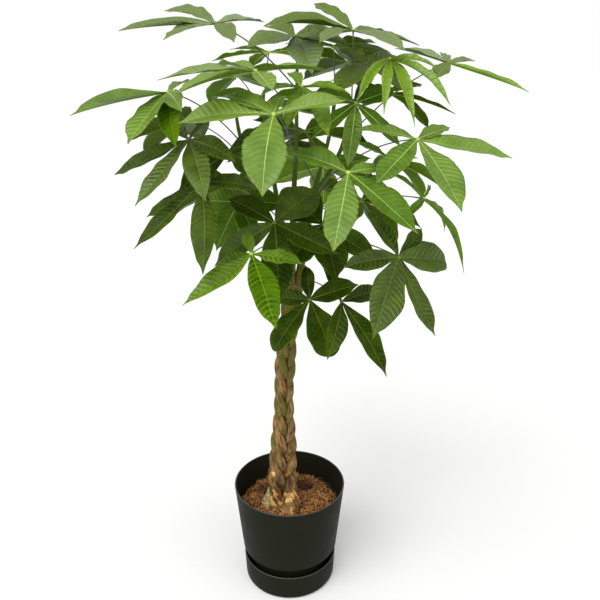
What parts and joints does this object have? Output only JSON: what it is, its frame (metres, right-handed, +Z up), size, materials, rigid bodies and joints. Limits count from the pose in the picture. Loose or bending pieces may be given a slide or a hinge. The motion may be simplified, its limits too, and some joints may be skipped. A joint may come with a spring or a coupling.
{
  "type": "potted money tree",
  "caption": "Potted braided-trunk money tree with palm-shaped leaves on long stalks, in a round plastic pot standing in a deep saucer.",
  "frame": {"origin": "centre of the saucer's flat underside, on the surface the plant stands on", "axes": "+Z up along the pot, +X to the plant's right as the picture shows it, +Y to its back"},
  "size_m": [0.6957, 0.6972, 1.1995],
  "materials": {
    "plastic": "satin",
    "soil": "matte",
    "bark": "matte",
    "leaf_dark": "satin",
    "leaf_bright": "satin",
    "leaf_young": "satin"
  },
  "bodies": {
    "root": {"saucer": "plastic", "pot": "plastic", "soil": "soil", "stem_1": "bark", "stem_2": "bark", "stem_3": "bark", "stem_4": "bark", "stem_5": "bark", "leaf_01": "leaf_dark", "leaf_02": "leaf_bright", "leaf_03": "leaf_bright", "leaf_04": "leaf_bright", "leaf_05": "leaf_dark", "leaf_06": "leaf_dark", "leaf_07": "leaf_dark", "leaf_08": "leaf_young", "leaf_09": "leaf_dark", "leaf_10": "leaf_dark", "leaf_11": "leaf_dark", "leaf_12": "leaf_bright", "leaf_13": "leaf_bright", "leaf_14": "leaf_bright", "leaf_15": "leaf_dark", "leaf_16": "leaf_young", "leaf_17": "leaf_young", "leaf_18": "leaf_young", "leaf_19": "leaf_bright", "leaf_20": "leaf_dark", "leaf_21": "leaf_dark", "leaf_22": "leaf_dark", "leaf_23": "leaf_bright", "leaf_24": "leaf_bright", "leaf_25": "leaf_dark", "leaf_26": "leaf_dark", "leaf_27": "leaf_dark", "leaf_28": "leaf_dark", "leaf_29": "leaf_bright", "leaf_30": "leaf_bright", "leaf_31": "leaf_dark", "leaf_32": "leaf_dark", "leaf_33": "leaf_dark", "leaf_34": "leaf_bright", "leaf_35": "leaf_dark", "leaf_36": "leaf_bright", "leaf_37": "leaf_dark"}
  },
  "joints": []
}
